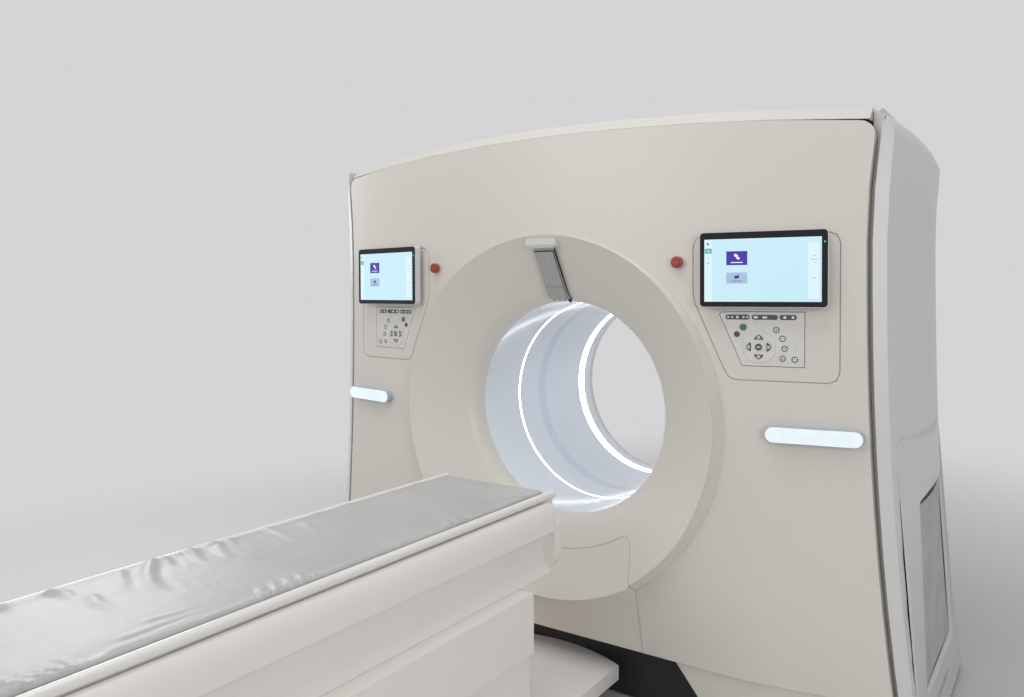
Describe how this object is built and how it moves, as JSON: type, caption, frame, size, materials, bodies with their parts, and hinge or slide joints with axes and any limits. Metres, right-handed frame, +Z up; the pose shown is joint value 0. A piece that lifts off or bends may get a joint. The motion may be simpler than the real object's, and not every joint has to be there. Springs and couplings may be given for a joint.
{
  "type": "ct scanner",
  "caption": "Wide-bore ct scanner: covered ring gantry with lit bore, operator screens and keypads, and a lifting patient table whose padded cradle slides into the bore.",
  "frame": {"origin": "on the floor, at the centre of the gantry's floor anchor pattern, directly below the isocentre", "axes": "+Z up; +Y along the bore axis from the front face to the rear, with the patient table on the -Y side; +X to the right as seen from the table"},
  "size_m": [2.4524, 4.1476, 2.051],
  "materials": {
    "warm_white": "smooth moulded cover, satin paint",
    "cool_white": "smooth moulded side cover, satin paint",
    "black_frame": "black powder coat",
    "grey_frame": "grey paint",
    "bearing_steel": "ground steel",
    "machine_grey": "grey enamel",
    "bore_white": "glossy pale liner",
    "window_film": "clear smooth window band",
    "bore_glow": "lit diffuser",
    "bar_glow": "lit diffuser in a grey-blue frame",
    "screen_black": "glass front with a silver edge",
    "keypad_white": "printed membrane front",
    "display_grey": "tinted window under a white hood",
    "tube_beige": "enamel",
    "dark_machined": "dark coat",
    "detector_blue": "enamel",
    "slip_brass": "turned tracks",
    "fan_plastic": "black moulding",
    "stop_red": "glossy red moulding",
    "key_grey": "soft-touch key",
    "key_green": "green key",
    "table_white": "smooth moulded cover",
    "cradle_white": "smooth laminate",
    "lift_steel": "turned tube",
    "pad_foam": "foam pad",
    "grey_vinyl": "grey coated vinyl, wrinkled"
  },
  "bodies": {
    "gantry": {"gantry_base": "black_frame", "stator_frame": "grey_frame", "main_bearing": "bearing_steel", "brush_block": "dark_machined", "power_cabinet": "machine_grey", "front_cover": "warm_white", "front_access_panel": "warm_white", "rear_cover": "warm_white", "top_cover": "warm_white", "side_cover_left": "cool_white", "side_cover_right": "cool_white", "service_panel_left": "cool_white", "service_panel_right": "cool_white", "bore_liner_front": "bore_white", "bore_liner_rear": "bore_white", "scan_window": "window_film", "bore_lights": "bore_glow", "status_light_left": "bar_glow", "status_light_right": "bar_glow", "control_panel_left": "warm_white", "control_panel_right": "warm_white", "touchscreen_left": "screen_black", "touchscreen_right": "screen_black", "keypad_left": "keypad_white", "keypad_right": "keypad_white", "patient_display": "display_grey", "table_base": "black_frame", "base_cover": "table_white", "lift_cylinders": "lift_steel"},
    "rotor": {"rotor_drum": "grey_frame", "xray_tube": "tube_beige", "collimator": "dark_machined", "detector_arc": "detector_blue", "generator": "machine_grey", "slip_ring": "slip_brass"},
    "fan_left": {"fan_left": "fan_plastic"},
    "fan_right": {"fan_right": "fan_plastic"},
    "estop_left": {"estop_left": "stop_red"},
    "estop_right": {"estop_right": "stop_red"},
    "key_up_left": {"key_up_left": "key_grey"},
    "key_down_left": {"key_down_left": "key_grey"},
    "key_in_left": {"key_in_left": "key_grey"},
    "key_out_left": {"key_out_left": "key_grey"},
    "key_start_left": {"key_start_left": "key_green"},
    "key_up_right": {"key_up_right": "key_grey"},
    "key_down_right": {"key_down_right": "key_grey"},
    "key_in_right": {"key_in_right": "key_grey"},
    "key_out_right": {"key_out_right": "key_grey"},
    "key_start_right": {"key_start_right": "key_green"},
    "pedestal": {"pedestal_skirt": "table_white", "lift_rams": "lift_steel"},
    "table": {"table_frame": "grey_frame", "table_side_left": "table_white", "table_side_right": "table_white", "table_end_caps": "table_white", "upper_skirt": "table_white"},
    "carriage": {"carriage": "dark_machined"},
    "cradle": {"cradle": "cradle_white", "cradle_pad": "pad_foam", "pad_cover": "grey_vinyl"}
  },
  "joints": [
    {"name": "rotor_spin", "type": "hinge", "parent": "gantry", "child": "rotor", "pos_m": [0, 0, 1.02], "axis": [0, 1, 0], "continuous": true},
    {"name": "fan_left_spin", "type": "hinge", "parent": "gantry", "child": "fan_left", "pos_m": [-1.09, 0.14, 0.43], "axis": [1, 0, 0], "continuous": true},
    {"name": "fan_right_spin", "type": "hinge", "parent": "gantry", "child": "fan_right", "pos_m": [1.09, 0.14, 0.43], "axis": [1, 0, 0], "continuous": true},
    {"name": "estop_left_push", "type": "slide", "parent": "gantry", "child": "estop_left", "axis": [0, 1, 0], "range_m": [0, 0.004], "stiffness_N_per_m": 1500, "springref_m": -0.002},
    {"name": "estop_right_push", "type": "slide", "parent": "gantry", "child": "estop_right", "axis": [0, 1, 0], "range_m": [0, 0.004], "stiffness_N_per_m": 1500, "springref_m": -0.002},
    {"name": "key_up_left_push", "type": "slide", "parent": "gantry", "child": "key_up_left", "axis": [0, 1, 0], "range_m": [0, 0.001], "stiffness_N_per_m": 800, "springref_m": -0.001},
    {"name": "key_down_left_push", "type": "slide", "parent": "gantry", "child": "key_down_left", "axis": [0, 1, 0], "range_m": [0, 0.001], "stiffness_N_per_m": 800, "springref_m": -0.001},
    {"name": "key_in_left_push", "type": "slide", "parent": "gantry", "child": "key_in_left", "axis": [0, 1, 0], "range_m": [0, 0.001], "stiffness_N_per_m": 800, "springref_m": -0.001},
    {"name": "key_out_left_push", "type": "slide", "parent": "gantry", "child": "key_out_left", "axis": [0, 1, 0], "range_m": [0, 0.001], "stiffness_N_per_m": 800, "springref_m": -0.001},
    {"name": "key_start_left_push", "type": "slide", "parent": "gantry", "child": "key_start_left", "axis": [0, 1, 0], "range_m": [0, 0.001], "stiffness_N_per_m": 800, "springref_m": -0.001},
    {"name": "key_up_right_push", "type": "slide", "parent": "gantry", "child": "key_up_right", "axis": [0, 1, 0], "range_m": [0, 0.001], "stiffness_N_per_m": 800, "springref_m": -0.001},
    {"name": "key_down_right_push", "type": "slide", "parent": "gantry", "child": "key_down_right", "axis": [0, 1, 0], "range_m": [0, 0.001], "stiffness_N_per_m": 800, "springref_m": -0.001},
    {"name": "key_in_right_push", "type": "slide", "parent": "gantry", "child": "key_in_right", "axis": [0, 1, 0], "range_m": [0, 0.001], "stiffness_N_per_m": 800, "springref_m": -0.001},
    {"name": "key_out_right_push", "type": "slide", "parent": "gantry", "child": "key_out_right", "axis": [0, 1, 0], "range_m": [0, 0.001], "stiffness_N_per_m": 800, "springref_m": -0.001},
    {"name": "key_start_right_push", "type": "slide", "parent": "gantry", "child": "key_start_right", "axis": [0, 1, 0], "range_m": [0, 0.001], "stiffness_N_per_m": 800, "springref_m": -0.001},
    {"name": "table_lift", "type": "slide", "parent": "gantry", "child": "table", "axis": [0, 0, 1], "range_m": [-0.26, 0.05]},
    {"name": "skirt_lift", "type": "slide", "parent": "gantry", "child": "pedestal", "axis": [0, 0, 1], "range_m": [-0.13, 0.025]},
    {"name": "carriage_slide", "type": "slide", "parent": "table", "child": "carriage", "axis": [0, 1, 0], "range_m": [0, 0.85]},
    {"name": "cradle_slide", "type": "slide", "parent": "carriage", "child": "cradle", "axis": [0, 1, 0], "range_m": [0, 0.85]}
  ],
  "couplings": [
    {"joint": "skirt_lift", "follows": "table_lift", "ratio": 0.5},
    {"joint": "carriage_slide", "follows": "cradle_slide", "ratio": 1}
  ]
}
